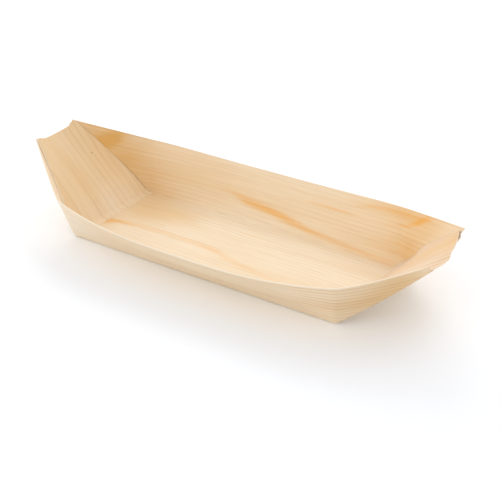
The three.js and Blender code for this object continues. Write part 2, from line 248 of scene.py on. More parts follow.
def place(end, points, press=True):
    """Floor, arc of the bend, then slope; plus the height along the surface's own direction.

    The end bellies out by bow * (1 - (across / ridge)^2), growing evenly along the slope."""
    along, across, height = points[..., 0], points[..., 1], points[..., 2]
    turned = turned_at(end, along)
    on_slope, past_floor = along >= end.reach, along > -end.reach
    arc_x = END_BEND_RADIUS * np.sin(turned) - end.reach
    arc_z = END_BEND_RADIUS * (1 - np.cos(turned))
    x = np.where(on_slope, along * np.cos(end.slope), np.where(past_floor, arc_x, along))
    z = np.where(on_slope, along * np.sin(end.slope), np.where(past_floor, arc_z, 0))
    belly = 1 - np.minimum(np.abs(across) / ridge_across(end, along), 1) ** 2
    bow = end.bow * np.maximum(along, 0) * belly / end.strip
    base = vec(end.direction * (HALF_LENGTH + x), across, z + HALF_VENEER)
    kept = 1 - pressed(end, along, across) if press else 1.0
    height = (height + HALF_VENEER) * kept - HALF_VENEER
    return base + out_of(end, along) * (height - bow - PLEAT_SINK * stacked(along))[..., None]


for end in (LEFT, RIGHT):
    print("middle of the end strip's edge:", place(end, vec(end.strip, 0)).round(1))

# %% [markdown]
# The rim is the sheet's long edge. Beside the floor it follows from the side's lean, which eases from the
# middle towards the ends. Past the end fold it sweeps in to the tip on a smooth curve.

# %% The rim
CURVE_SAMPLES = 400
RIM_STEP = 1.0


def floor_rim(x):
    """Rim of the far side beside the floor: the side strip leaning out by an angle that changes with x."""
    lean = mix(MID_LEAN, CORNER_LEAN, (np.abs(x) / HALF_LENGTH) ** LEAN_POWER)
    return vec(x, HALF_WIDTH + SIDE_STRIP * np.sin(lean), HALF_VENEER + SIDE_STRIP * np.cos(lean))


def even_curve(start, middle, stop, shares):
    """Quadratic curve (1-s)^2 a + 2 s (1-s) b + s^2 c, read at even shares of its length."""
    s = np.linspace(0, 1, CURVE_SAMPLES)[:, None]
    curve = (1 - s) ** 2 * start + 2 * s * (1 - s) * middle + s**2 * stop
    run = np.r_[0, np.cumsum(np.linalg.norm(np.diff(curve, axis=0), axis=1))]
    return np.stack([np.interp(shares * run[-1], run, axis) for axis in curve.T], -1)


def rim_points(end, rows, ridge_end, side, lay):
    """Rim beside each row of the sheet, a row being the distance past the end fold."""
    shape = end.corners[side]
    start = floor_rim(HALF_LENGTH)
    middle = start + shape.sweep * unit(start - floor_rim(HALF_LENGTH - RIM_STEP))
    tip = ridge_end + shape.lean * end.ridge_way + shape.out * end.ridge_out + shape.up * UP
    facing = np.array([end.direction, 1, 1])
    shares = np.maximum(rows, 0) / end.strip
    swept = even_curve(start * facing, middle * facing, lay(tip, press=False), shares)
    straight = floor_rim(HALF_LENGTH + np.minimum(rows, 0)) * facing
    return np.where((rows > 0)[:, None], swept, straight)


print("rim at the middle:", floor_rim(0.0).round(1), "and at the end fold:", floor_rim(HALF_LENGTH).round(1))

# %% [markdown]
# Now the sheet itself. One row crosses the sheet from the rim to the middle line: side strip, round bend
# at the fold, the two layers of the pleat with a tight fold between them, and the end panel. The row is
# worked out as two faces, half a veneer to each side of the sheet's middle surface. Beside the floor the
# pleat has no width, so its columns close up at the corner.

# %% The folds and the pleat
LAYER_COLUMNS = 9
FOLD_COLUMNS = 6


def on_fold_line(end, line_end, shares):
    """Points of a straight fold from the corner of the floor."""
    return end.corner + shares[:, None] * (line_end - end.corner)


def round_fold(centre, side, radius):
    """Half circle about a line: centre + radius * (sin a * side - cos a * up)."""
    angle = np.linspace(0, np.pi, FOLD_COLUMNS + 1)[None, :, None]
    spoke = np.sin(angle) * side - np.cos(angle) * UP
    spokes = np.broadcast_to(spoke, (len(centre), *spoke.shape[1:]))
    return centre[:, None] + radius[:, None, None] * spoke, spokes


def pleat_faces(end, rows, bend_end):
    """Both faces of the laid pleat: out to its fold, round it, and back to the root of the end panel."""
    fold = on_fold_line(end, end.fold_end, rows / end.strip)
    root = on_fold_line(end, end.root_end, rows / end.strip)
    share = (np.arange(1, LAYER_COLUMNS) / LAYER_COLUMNS)[None, :, None]
    radius = PLEAT_FOLD_RADIUS * stacked(fold[:, 0])
    layer_1 = mix(bend_end[:, None], fold[:, None], share)
    fold_1, spoke_1 = round_fold(fold + radius[:, None] * UP, end.fold_in, radius)
    layer_2 = mix((fold + 2 * radius[:, None] * UP)[:, None], (root + LAYER_2_HEIGHT * UP)[:, None], share)
    root_radius = np.full(len(rows), ROOT_FOLD_RADIUS)
    root_centre = root + (LAYER_2_HEIGHT + ROOT_FOLD_RADIUS) * UP
    fold_2, spoke_2 = round_fold(root_centre, end.ridge_out, root_radius)
    middle = np.concatenate([layer_1, fold_1, layer_2, fold_2], 1)
    flat = np.broadcast_to(UP, layer_1.shape)
    inward = np.concatenate([flat, -spoke_1, -flat, spoke_2], 1)
    return middle - HALF_VENEER * inward, middle + HALF_VENEER * inward


print(f"a pleat has two layers of {LAYER_COLUMNS} columns and two folds of {FOLD_COLUMNS}")

# %% [markdown]
# At the side fold the sheet bends round a small radius, because dry veneer would crack on a sharp one. The
# bend turns by the angle at which the side climbs from the end, which changes from row to row. The side
# itself is ruled: straight lines from the bend to the rim, as a sheet that bends but doesn't stretch has.

# %% The side bend and the side strip
BEND_COLUMNS = 6


def side_bend(end, ridge, way, rim, lay):
    """Both faces of the bend, and how far it reaches onto the end: radius * tan(turn / 2)."""
    side = vec(-way[:, 1], way[:, 0])
    climb = rim - lay(ridge)
    turned = turned_at(end, ridge[:, 0])
    slope_way = vec(end.direction * np.cos(turned), 0, np.sin(turned))
    surface_out = out_of(end, ridge[:, 0])
    climb = vec((climb * slope_way).sum(-1), climb[:, 1], (climb * surface_out).sum(-1))
    climb = unit(climb - (climb * way).sum(-1, keepdims=True) * way)
    turn = np.arctan2(climb[:, 2], (climb * side).sum(-1))
    bend_reach = (SIDE_FOLD_RADIUS * np.tan(turn / 2))[:, None]
    bend_end = ridge - bend_reach * side
    angle = (turn[:, None] * np.linspace(1, 0, BEND_COLUMNS + 1))[..., None]
    inward = np.cos(angle) * UP - np.sin(angle) * side[:, None]
    middle = (bend_end + SIDE_FOLD_RADIUS * UP)[:, None] - SIDE_FOLD_RADIUS * inward
    return middle - HALF_VENEER * inward, middle + HALF_VENEER * inward, bend_reach


def side_strip(outer, inner, rim, rim_way, down):
    """Both faces of the side strip: rim + (foot - rim) * down, half a veneer to each side."""
    foot = (outer[:, 0] + inner[:, 0]) / 2
    foot_inward = unit(inner[:, 0] - outer[:, 0])
    rim_inward = unit(np.cross(rim - foot, rim_way))
    rim_inward *= np.sign((rim_inward * foot_inward).sum(-1, keepdims=True))
    middle = mix(rim[:, None], foot[:, None], down)
    inward = unit(mix(rim_inward[:, None], foot_inward[:, None], down))
    return middle - HALF_VENEER * inward, middle + HALF_VENEER * inward


print(f"the side fold is bent in {BEND_COLUMNS} steps")

# %% [markdown]
# Now these parts are put in order for one half of the sheet, from the rim to the middle line. Each column
# also gets its place on the flat, unfolded sheet. The wood grain will be drawn there later on.

# %% One half of the sheet
STRIP_COLUMNS = 22
PANEL_COLUMNS = 28
CORNER_BLEND = 3.0
DOWN_STRIP = np.r_[0, EDGE_BAND / SIDE_STRIP, np.arange(1, STRIP_COLUMNS) / STRIP_COLUMNS]
TO_MIDDLE = np.linspace(1, 0, PANEL_COLUMNS + 1)


def pleat_and_panel(end, rows, ridge_end, bend, open_mouth):
    """Both faces from the bend to the middle line, drawn flat.

    Near the corner the pleat opens evenly from nothing to its full stack."""
    bend_outer, bend_inner, bend_reach = bend
    full_rows = np.maximum(rows, PLEAT_START)
    full_end = on_fold_line(end, ridge_end, full_rows / end.strip) - bend_reach * end.ridge_out
    full_outer, full_inner = pleat_faces(end, full_rows, full_end)
    open_share = stacked(rows)[:, None, None]
    corner_outer, corner_inner = bend_outer[:, -1:], bend_inner[:, -1:]
    mouth = corner_outer + PLEAT_WEB * UP if open_mouth else corner_inner
    faces = []
    for start, corner, full in ((corner_outer, corner_outer, full_outer), (mouth, corner_inner, full_inner)):
        pleat = mix(start, full[:, :-1], open_share)
        edge = mix(corner, full[:, -1:], open_share)
        panel = vec(edge[..., 0], edge[..., 1] * TO_MIDDLE, edge[..., 2])
        faces.append(np.concatenate([pleat, panel], 1))
    return faces


def flat_columns(share_up, pleat_columns):
    """Distance of each column from the middle line of the flat sheet."""
    flat_ridge = (HALF_WIDTH + (SIDE_STRIP - TIP_WIDTH) * share_up)[:, None]
    flat_fold = (flat_ridge + HALF_WIDTH) / 2
    across_pleat = np.linspace(0, 2, pleat_columns)[None]
    first_layer = mix(flat_ridge, flat_fold, np.minimum(across_pleat, 1))
    flat_pleat = mix(first_layer, HALF_WIDTH, np.maximum(across_pleat - 1, 0))
    flat_strip = mix(SHEET_HALF_WIDTH, flat_ridge, DOWN_STRIP[None])
    flat_bend = np.repeat(flat_ridge, BEND_COLUMNS + 1, 1)
    flat_panel = np.broadcast_to(HALF_WIDTH * TO_MIDDLE, (len(share_up), len(TO_MIDDLE)))
    return np.concatenate([flat_strip, flat_bend, flat_pleat, flat_panel], 1)


def half_sheet(end, rows, open_mouth, half):
    """Outer face, inner face and flat place across the sheet, for one half, from rim to middle line.

    Both halves are worked out as the far one; the near half is mirrored when the rows are joined."""
    turn_over = np.array([1, half, 1])

    def lay(points, press=True):
        """Points of this half on the end, given and returned as if it were the far half."""
        return place(end, points * turn_over, press) * turn_over

    share_up = np.maximum(rows, 0) / end.strip
    ridge_end = end.corner + (end.ridge_length - end.corners[half].trim) * end.ridge_way
    ridge = on_fold_line(end, ridge_end, share_up) + vec(np.minimum(rows, 0), 0)
    way = unit(mix(vec(1, 0), end.ridge_way, np.clip(rows / CORNER_BLEND, 0, 1)[:, None]))
    rim, rim_ahead, rim_behind = (
        rim_points(end, rows + step, ridge_end, half, lay) for step in (0, RIM_STEP, -RIM_STEP)
    )
    bend = side_bend(end, ridge, way, rim, lay)
    outer_rest, inner_rest = pleat_and_panel(end, rows, ridge_end, bend, open_mouth)
    outer = lay(np.concatenate([bend[0], outer_rest], 1))
    inner = lay(np.concatenate([bend[1], inner_rest], 1))
    down = DOWN_STRIP[None, :, None]
    strip_outer, strip_inner = side_strip(outer, inner, rim, rim_ahead - rim_behind, down)
    outer, inner = np.concatenate([strip_outer, outer], 1), np.concatenate([strip_inner, inner], 1)
    return outer, inner, flat_columns(share_up, outer_rest.shape[1] - len(TO_MIDDLE))


print(f"a side strip has {len(DOWN_STRIP)} columns, half an end panel {len(TO_MIDDLE)}")

# %% [markdown]
# Both sides together make whole rows, and rows make a slab with two faces and cut edges. Points that fall
# on each other are welded, and faces that have lost their area are dropped, so the slab ends up closed.

# %% Slabs and meshes
WELD_STEPS_PER_MM = 1e5
CENTRE_SHIFT = -2.095
FOLD_SKEW = 0.065
SKEW_FADE = (2.0, 26.0)
SHARP_ANGLE = np.radians(38)


def sheet_grid(end, rows, open_mouth):
    """Rows of the whole sheet, ordered from -X to +X and from the far rim to the near one."""
    far_outer, far_inner, far_flat = half_sheet(end, rows, open_mouth, FAR)
    near_outer, near_inner, near_flat = half_sheet(end, rows, open_mouth, NEAR)

    def across(far, near):
        """Far half, then the near half backwards, with the middle line once."""
        return np.concatenate([far, near[:, ::-1][:, 1:]], 1)

    outer = across(far_outer, near_outer * MIRROR_ACROSS)
    inner = across(far_inner, near_inner * MIRROR_ACROSS)
    flat = across(far_flat, -near_flat)
    length = np.broadcast_to((end.direction * (HALF_LENGTH + rows))[:, None], flat.shape)
    edge = np.broadcast_to((rows >= end.strip)[:, None], flat.shape).astype(float)
    edge[:, [0, -1]] = 1
    grid = outer, inner, vec(length, flat, edge)
    return grid if end.direction > 0 else tuple(part[::-1] for part in grid)


def slab_arrays(grids):
    """Points, triangles and flat places of the slab through a run of grids (outer, inner, flat).

    A flat place is the distance along, the distance across, and 1 on a cut edge or 0 elsewhere."""
    points, flats, quads, count = [], [], [], 0
    for number, (outer, inner, flat) in enumerate(grids):
        rows, columns = outer.shape[:2]
        size = rows * columns
        under = np.arange(size).reshape(rows, columns) + count
        over = under + size
        a, b, c, d = under[:-1, :-1], under[:-1, 1:], under[1:, 1:], under[1:, :-1]
        quads += [np.stack([d, c, b, a], -1), np.stack([a, b, c, d], -1) + size]
        quads += [np.stack([under[:-1, 0], over[:-1, 0], over[1:, 0], under[1:, 0]], -1)]
        quads += [np.stack([over[:-1, -1], under[:-1, -1], under[1:, -1], over[1:, -1]], -1)]
        if number == 0:
            quads += [np.stack([under[0, 1:], over[0, 1:], over[0, :-1], under[0, :-1]], -1)]
        if number == len(grids) - 1:
            quads += [np.stack([under[-1, :-1], over[-1, :-1], over[-1, 1:], under[-1, 1:]], -1)]
        points += [outer.reshape(-1, 3), inner.reshape(-1, 3)]
        flats += [flat.reshape(-1, 3)] * 2
        count += 2 * size
    points, flats = np.concatenate(points), np.concatenate(flats)
    quads = np.concatenate([q.reshape(-1, 4) for q in quads])
    keys = np.round(points * WELD_STEPS_PER_MM).astype(np.int64)
    _, first, welded = np.unique(keys, axis=0, return_index=True, return_inverse=True)
    triangles = welded.reshape(-1)[np.concatenate([quads[:, [0, 1, 2]], quads[:, [0, 2, 3]]])]
    a, b, c = triangles.T
    return points[first], triangles[(a != b) & (b != c) & (c != a)], flats[first]


def settled(points):
    """Skews the end folds by FOLD_SKEW * across near the floor, and moves the origin to the CAD model's."""
    skew = FOLD_SKEW * points[..., 1] * (1 - smooth_step(points[..., 2], *SKEW_FADE))
    return points + vec(skew + CENTRE_SHIFT, 0)


def make_piece(name, points, triangles, attributes):
    """Mesh object in metres, with one vertex attribute for each named array."""
    mesh = bpy.data.meshes.new(name)
    mesh.from_pydata(points * MM, [], triangles)
    mesh.polygons.foreach_set("use_smooth", np.ones(len(triangles), bool))
    mesh.set_sharp_from_angle(angle=SHARP_ANGLE)
    for key, values in attributes.items():
        kind = "FLOAT_VECTOR" if values.ndim == 2 else "FLOAT"
        field = "vector" if values.ndim == 2 else "value"
        layer = mesh.attributes.new(key, kind, "POINT")
        layer.data.foreach_set(field, np.ascontiguousarray(values, np.float32).reshape(-1))
    piece = bpy.data.objects.new(name, mesh)
    bpy.context.scene.collection.objects.link(piece)
    print(f"{name}: {len(points)} points, {len(triangles)} triangles")
    return piece


print(f"points within {1 / WELD_STEPS_PER_MM} mm of each other are welded")

# %% [markdown]
# The hull is made in four runs of rows: left end, left half of the floor, right half, right end. Rows stand
# closer together at the bends and at the mouths of the pleats, where the shape changes fast. A narrow last
# row along each cut edge lets the material show pale end wood with a painted highlight there.

# %% Rows of the hull
FLOOR_ROWS = 46
BEND_ROWS = 12
BEND_MARGIN = 4.0
MOUTH_ROWS = 16
RISE_ROWS = 34

hull_floor, hull_rise = {}, {}
for end in (LEFT, RIGHT):
    bend_start = -end.reach - BEND_MARGIN
    floor_rows = np.r_[
        np.linspace(-HALF_LENGTH, bend_start, FLOOR_ROWS),
        np.linspace(bend_start, 0, BEND_ROWS)[1:],
    ]
    rise_rows = np.r_[
        np.linspace(0, PLEAT_START, MOUTH_ROWS),
        np.linspace(PLEAT_START, end.strip, RISE_ROWS)[1:-1],
        end.strip - EDGE_BAND,
        end.strip,
    ]
    hull_floor[end.direction] = sheet_grid(end, floor_rows, open_mouth=False)
    hull_rise[end.direction] = sheet_grid(end, rise_rows, open_mouth=True)
hull_grids = [hull_rise[-1], hull_floor[-1], hull_floor[1], hull_rise[1]]
hull_points, hull_triangles, hull_flat = slab_arrays(hull_grids)
print(f"hull rows: {sum(len(grid[0]) for grid in hull_grids)}, columns: {hull_grids[0][0].shape[1]}")

# %% [markdown]
# Each end is lined with a smaller piece of veneer, glued over the mouths of the pleats. It is a slab laid
# on the end with the same `place`, so it follows the bend at its foot and the belly of the end.

# %% How a patch is laid
PATCH_COLUMNS = 40
PATCH_FOOT_ROWS = 26
PATCH_RISE_ROWS = 48
PATCH_FOOT_EDGE = 0.12
FOOT_THINS_OVER = 3.0
FOOT_LIFTS_OVER = 1.5
FOOT_LIFT = 0.04
# Band along the patches' cut edges, wide enough to show their pale edge and painted highlight.
PATCH_EDGE_BAND = 0.45
OVERHANG_CHANGE = (36.0, 57.0)
FAR_EDGE_GROWS = (-6.0, 30.0)
CORNER_SHARE = (0.55, 1.0)


def patch_field(patch, foot, top, margin):
    """Distances along, across and from the foot: rows from a turned foot to a turned top edge.

    Clear of the side folds at the floor, past the ridges higher up, and longer at the top corners."""
    end = patch.end
    band = PATCH_EDGE_BAND / HALF_WIDTH
    share = np.r_[1, np.linspace(1 - band, band - 1, PATCH_COLUMNS), -1][None]
    top_edge = top - np.tan(np.radians(patch.turn)) * share * ridge_across(end, top)
    top_edge = top_edge + patch.far_rise * smooth_step(share, *CORNER_SHARE)
    top_edge = top_edge + patch.near_rise * smooth_step(-share, *CORNER_SHARE)
    foot_edge = foot + np.tan(np.radians(patch.foot_turn)) * share * HALF_WIDTH
    low = np.r_[0, np.linspace(EDGE_BAND / PLEAT_START, 1, PATCH_FOOT_ROWS)][:, None]
    high = np.r_[np.linspace(0, 1 - EDGE_BAND / END_STRIP, PATCH_RISE_ROWS)[1:], 1][:, None]
    along = np.concatenate([mix(foot_edge, PLEAT_START, low), mix(PLEAT_START, top_edge, high)])
    far_over = mix(*patch.far_overhang, smooth_step(along, *OVERHANG_CHANGE))
    near_over = mix(*patch.near_overhang, smooth_step(along, *patch.near_change))
    overhang = np.where(share > 0, far_over, near_over)
    grown = np.where(share > 0, smooth_step(along, *FAR_EDGE_GROWS), stacked(along))
    half_width = ridge_across(end, along) + mix(-PATCH_FLOOR_GAP, overhang, grown)
    return along, share * (half_width - margin), along - foot_edge


def laid_slab(end, along, across, base, thickness, bevel=0.0):
    """Slab on the end between two heights, ordered as the sheet's rows are.

    Its upper face is wider than the lower one by the bevel's share, or narrower where that is negative."""
    edge = np.zeros(np.shape(along))
    edge[[0, -1]] = 1
    edge[:, [0, -1]] = 1
    outer = place(end, vec(along, across, base))
    inner = place(end, vec(along, across * (1 + bevel), base + thickness))
    grid = outer, inner, vec(along, across, edge)
    return slab_arrays([grid if end.direction > 0 else tuple(part[::-1] for part in grid)])


print(f"a patch is {PATCH_THICKNESS} mm thick and thins to {PATCH_FOOT_EDGE} mm at its foot")

# %% [markdown]
# The two patches were laid by hand, so they differ. The left one sits almost straight and reaches out onto
# the floor. The right one is turned by some degrees, and its foot stops at the fold.

# %% The two patches
LEFT_FOOT_ON_FLOOR = 1.9
patches = {
    "left": SimpleNamespace(
        end=LEFT, foot=-LEFT.reach - LEFT_FOOT_ON_FLOOR, foot_turn=0.0, top=55.7, turn=1.0,
        far_rise=1.2, near_rise=1.4,
        far_overhang=(1.9, 0.6), near_overhang=(1.9, 1.8), near_change=OVERHANG_CHANGE, bevel=-0.02,
    ),
    "right": SimpleNamespace(
        end=RIGHT, foot=-0.85, foot_turn=2.6, top=57.6, turn=12.0, far_rise=0.0, near_rise=0.0,
        far_overhang=(1.6, 1.2), near_overhang=(0.3, 2.4), near_change=(51.0, 60.0), bevel=0.016,
    ),
}
patch_slabs = {}
for side_name, patch in patches.items():
    along, across, from_foot = patch_field(patch, patch.foot, patch.top, margin=0.0)
    lift = FOOT_LIFT + (GLUE_SPACE - FOOT_LIFT) * smooth_step(from_foot, 0, FOOT_LIFTS_OVER)
    base = HALF_VENEER + lift + PANEL_HEIGHT * stacked(along)
    thickness = mix(PATCH_FOOT_EDGE, PATCH_THICKNESS, smooth_step(from_foot, 0, FOOT_THINS_OVER))
    patch_slabs[side_name] = laid_slab(patch.end, along, across, base, thickness, patch.bevel)
    print(f"{side_name} patch: {along.shape[0]} rows of {along.shape[1]} points")

# %% [markdown]
# The glue is out of sight: a film under each patch, and one between each pleat and the back of its end. The
# films are thin slabs laid with the same functions, so they follow every bend and stay inside the stack.

# %% The glue films
GLUE_ROWS = 12
GLUE_COLUMNS = 16
GLUE_FOOT_INSET = 2.0

pieces = {}
for side_name, patch in patches.items():
    end = patch.end
    film = SimpleNamespace(**{**vars(patch), "turn": 0.0, "far_rise": 0.0, "near_rise": 0.0})
    along, across, _ = patch_field(film, patch.foot + GLUE_FOOT_INSET, end.strip - GLUE_MARGIN, GLUE_MARGIN)
    base = HALF_VENEER + GLUE_CLEARANCE + PANEL_HEIGHT * stacked(along)
    points, triangles, _ = laid_slab(end, along, across, base, GLUE_THICKNESS)
    piece = make_piece(f"{side_name}_lining_glue", settled(points), triangles, {})
    pieces[f"{side_name}_patch_glue"] = piece
    shares = np.linspace(*PLEAT_GLUE_ROWS, GLUE_ROWS)
    between = np.linspace(1 - PLEAT_GLUE_INSET, PLEAT_GLUE_INSET, GLUE_COLUMNS)[None, :, None]
    fold_line = on_fold_line(end, end.fold_end, shares)[:, None]
    root_line = on_fold_line(end, end.root_end, shares)[:, None]
    film = mix(fold_line, root_line, between)
    for half_name, half in (("far", FAR), ("near", NEAR)):
        along, across = film[..., 0], half * film[..., 1]
        order = slice(None, None, half)
        base = LAYER_2_HEIGHT + HALF_VENEER + GLUE_CLEARANCE
        points, triangles, _ = laid_slab(end, along[:, order], across[:, order], base, GLUE_THICKNESS)
        piece = make_piece(f"{side_name}_{half_name}_corner_glue", settled(points), triangles, {})
        pieces[f"{side_name}_{half_name}_pleat_glue"] = piece

# %% [markdown]
# Pine shows resin streaks: long orange bands where the knife met a growth ring at a flat angle. Each streak
# is drawn on the flat sheet as a line with a width and a strength. Broad tan places, partly painted shade,
# and pale places of painted light are soft spots. They are worked out for every point and written to the
# pieces as vertex attributes, which the material reads. Painting on the flat sheet keeps them in step with
# the folds.

# %% Streaks and spots
def streak(along, across, width, strength):
    """A resin streak: its course on the flat sheet, with its half width and strength along it."""
    return SimpleNamespace(along=along, across=across, width=width, strength=strength)


def spot(along, across, reach, strength, slant=0.0):
    """A soft spot: its middle, its reach along and across, its strength, and how far it leans."""
    return SimpleNamespace(along=along, across=across, reach=reach, strength=strength, slant=slant)


def streak_field(flat, streaks):
    """Sum of strength * exp(-(distance across / half width)^2)."""
    total = np.zeros(len(flat))
    for line in streaks:
        away = flat[:, 1] - np.interp(flat[:, 0], line.along, line.across)
        away = away / np.interp(flat[:, 0], line.along, line.width)
        total += np.interp(flat[:, 0], line.along, line.strength, left=0, right=0) * np.exp(-(away**2))
    return total


def spot_field(flat, spots):
    """Sum of strength * exp(-(along / reach)^2 - (across / reach)^2) about each spot's middle."""
    total = np.zeros(len(flat))
    for place_on in spots:
        across = flat[:, 1] - place_on.across
        along = flat[:, 0] - place_on.along - place_on.slant * across
        spread = (along / place_on.reach[0]) ** 2 + (across / place_on.reach[1]) ** 2
        total += place_on.strength * np.exp(-spread)
    return total


def marks(flat, streaks, tan_and_shade_spots, painted_light_spots, ring_strength):
    """Vertex attributes of one piece of veneer, from its flat places."""
    return {
        "sheet": flat * (MM, MM, 0),
        "cut_edge": flat[:, 2],
        "streak": streak_field(flat, streaks),
        "tan_and_shade": spot_field(flat, tan_and_shade_spots),
        "painted_light": spot_field(flat, painted_light_spots),
        "ring_strength": ring_strength,
    }


one_spot = spot_field(np.zeros((1, 3)), [spot(0, 0, (1, 1), 1.0)])
print(f"a spot of strength 1 has {one_spot[0]:.1f} in its middle")

# %% [markdown]
# These are the hull's own streaks. On the real dish one broad band of resin crosses the far side down to the
# fold, two thinner ones run up to its rim, and a broad band and two fine lines cross the floor. Each is a
# short list of points along the sheet, with the half width in millimetres and the strength at each point.

# %% Streaks of the hull
far_side_streaks = [
    streak(
        along=[-45, -27, -16, 0, 11, 28, 48, 62, 78, 84],
        across=[45.5, 44.7, 41.8, 40, 38, 35, 33, 31.8, 31, 30.8],
        width=[1.4, 2.2, 3.0, 3.1, 2.9, 2.3, 1.9, 1.7, 1.6, 1.6],
        strength=[0, 0.4, 0.8, 0.85, 0.85, 0.74, 0.64, 0.6, 0.55, 0],
    ),
    streak(
        along=[-85, -20, 15, 24, 36, 48, 57, 73, 82, 92, 100, 110],
        across=[51, 50.6, 50.8, 51, 51, 50.6, 50, 50.5, 52.4, 56.3, 60.7, 62],
        width=[0.5, 0.5, 0.6, 0.9, 1.0, 0.9, 0.8, 0.9, 1.2, 1.8, 2.2, 2.2],
        strength=[0.2, 0.2, 0.25, 0.6, 0.75, 0.6, 0.4, 0.5, 0.7, 0.9, 0.7, 0],
    ),
    streak(
        along=[44, 50, 59, 69, 80, 94, 106],
        across=[54.5, 55.3, 57.6, 58.8, 59, 59.5, 60],
        width=[0.8, 1.0, 1.3, 1.5, 2.0, 2.4, 2.4],
        strength=[0, 0.4, 0.65, 0.6, 0.6, 0.5, 0],
    ),
]
floor_streaks = [
    streak(
        along=[-86, -79, -75, -71, -58, -39, -20, -8, 3.5, 19, 34, 48],
        across=[-13, -11, -9, -6.4, -4.9, -3.8, -4.3, -5.3, -8.5, -12, -14.5, -16],
        width=[3.4, 3.4, 3.2, 2.6, 2.3, 2.5, 2.9, 3.2, 3.0, 2.5, 2.0, 1.5],
        strength=[0.9, 1, 0.9, 0.75, 0.5, 0.45, 0.5, 0.6, 0.5, 0.4, 0.3, 0],
    ),
    streak(
        along=[-76, -60, -30, 7, 20], across=[23.9, 23.7, 23.6, 23.8, 23.5],
        width=[0.8, 0.7, 0.7, 0.8, 0.8], strength=[0.3, 0.45, 0.5, 0.3, 0],
    ),
    streak(
        along=[-24, -18, 3.5, 25, 46], across=[17.6, 17.8, 19.2, 18.4, 17.8],
        width=[0.6, 0.7, 0.8, 0.7, 0.7], strength=[0, 0.45, 0.5, 0.4, 0],
    ),
]
print(f"{len(far_side_streaks)} streaks on the far side, {len(floor_streaks)} on the floor")

# %% [markdown]
# Broad tan places, partly painted shade, and pale places of painted light come next, then the strength of the
# year rings. They show most on the near side, and more so towards the right end, so their strength changes
# smoothly along and across the flat sheet.

# %% Tan places with painted shade, places of painted light and rings of the hull
# A spot is given as: along, across, reach along and across, strength
# Tan spots are partly the wood's own tan and partly painted shade: in the left end's corner, on the far wall,
# on the floor near the left end and on the right end's near flap.
hull_tan_and_shade_spots = [
    spot(-108, 56, (7, 12), 0.75, slant=0.9),
    spot(-98, 48, (14, 14), 0.55, slant=0.5),
    spot(-120, 59, (14, 9), 0.6),
    spot(0, 50, (130, 14), 0.16),
    spot(-87, 36, (16, 9), 0.34),
    spot(-72, 24, (22, 12), 0.34),
    spot(-44, 18, (13, 7), 0.3),
    spot(20, -12, (30, 6), 0.16),
    spot(-64, 9, (20, 14), 0.42),
    spot(-78, -9, (7, 7), 0.5),
    spot(-60, 44, (44, 14), 0.28),
    spot(90, 42, (16, 11), 0.6),
    spot(82, 59, (24, 6), 0.52),
    spot(106, 54, (12, 9), 0.22),
    spot(66, 38, (28, 7), 0.28),
    spot(100, -46, (24, 14), 0.43),
    spot(118, -56, (16, 10), 0.5),
]
# Pale spot: painted light on the near side's outer face at the left, where light thrown back from the floor
# falls.
hull_painted_light_spots = [spot(-82, -48, (22, 18), 0.66)]
STREAK_SHOWS = 0.3
RINGS_INSIDE = 0.2
RINGS_OUTSIDE = 0.64
NEAR_FOLD = (28.0, 36.0)
RINGS_GROW = (-160.0, 70.0)
on_near_side = smooth_step(-hull_flat[:, 1], *NEAR_FOLD) * smooth_step(hull_flat[:, 0], *RINGS_GROW)
hull_rings = mix(RINGS_INSIDE, RINGS_OUTSIDE, on_near_side)
hull_streaks = far_side_streaks + floor_streaks
hull_marks = marks(hull_flat, hull_streaks, hull_tan_and_shade_spots, hull_painted_light_spots, hull_rings)
pieces["hull_sheet"] = make_piece("hull_veneer", settled(hull_points), hull_triangles, hull_marks)
print(f"streaks cover {np.mean(hull_marks['streak'] > STREAK_SHOWS):.0%} of the hull's points")

# %% [markdown]
# The patches look like pieces of other sheets. They have no resin streaks, only soft tan places, partly
# painted shade, and pale places of painted light, and the right one shows its year rings more.

# %% Marks of the patches
PATCH_RINGS = {"left": 0.35, "right": 0.8}
# Tan spots on the patches are painted shade where a patch turns away from the light, most on the right
# patch's far part.
patch_tan_and_shade_spots = {
    "left": [spot(30, 20, (26, 7), 0.3), spot(22, -6, (24, 6), 0.25)],
    "right": [spot(40, 12, (24, 9), 0.42), spot(58, 6, (9, 14), 0.34)],
}
# Pale spot: painted light on the left patch's foot, which faces up towards the light.
patch_painted_light_spots = {"left": [spot(5, 2, (10, 20), 0.4)], "right": []}
for side_name, (points, triangles, flat) in patch_slabs.items():
    rings = np.full(len(flat), PATCH_RINGS[side_name])
    patch_marks = marks(flat, [], patch_tan_and_shade_spots[side_name], patch_painted_light_spots[side_name], rings)
    piece = make_piece(f"{side_name}_end_lining", settled(points), triangles, patch_marks)
    pieces[f"{side_name}_end_patch"] = piece

# %% [markdown]
# Materials are built from shader nodes. A few helpers keep that readable: one adds a node and fills its
# inputs, one does arithmetic, one turns a value into a soft step, and one lays a colour over another.

# %% Node helpers
SCREEN_MAX = 255
SRGB_KNEE = 0.04045
SRGB_SLOPE = 12.92
SRGB_OFFSET = 0.055
SRGB_POWER = 2.4


def srgb(r, g, b):
    """Screen colour, 0 to 255, as the linear colour that Blender works in."""
    c = np.array([r, g, b]) / SCREEN_MAX
    curved = ((c + SRGB_OFFSET) / (1 + SRGB_OFFSET)) ** SRGB_POWER
    return (*np.where(c <= SRGB_KNEE, c / SRGB_SLOPE, curved), 1.0)


def connect(tree, value, socket):
    """Links an output to a socket, or sets a plain value on it."""
    if isinstance(value, bpy.types.NodeSocket):
        tree.links.new(value, socket)
    else:
        socket.default_value = value


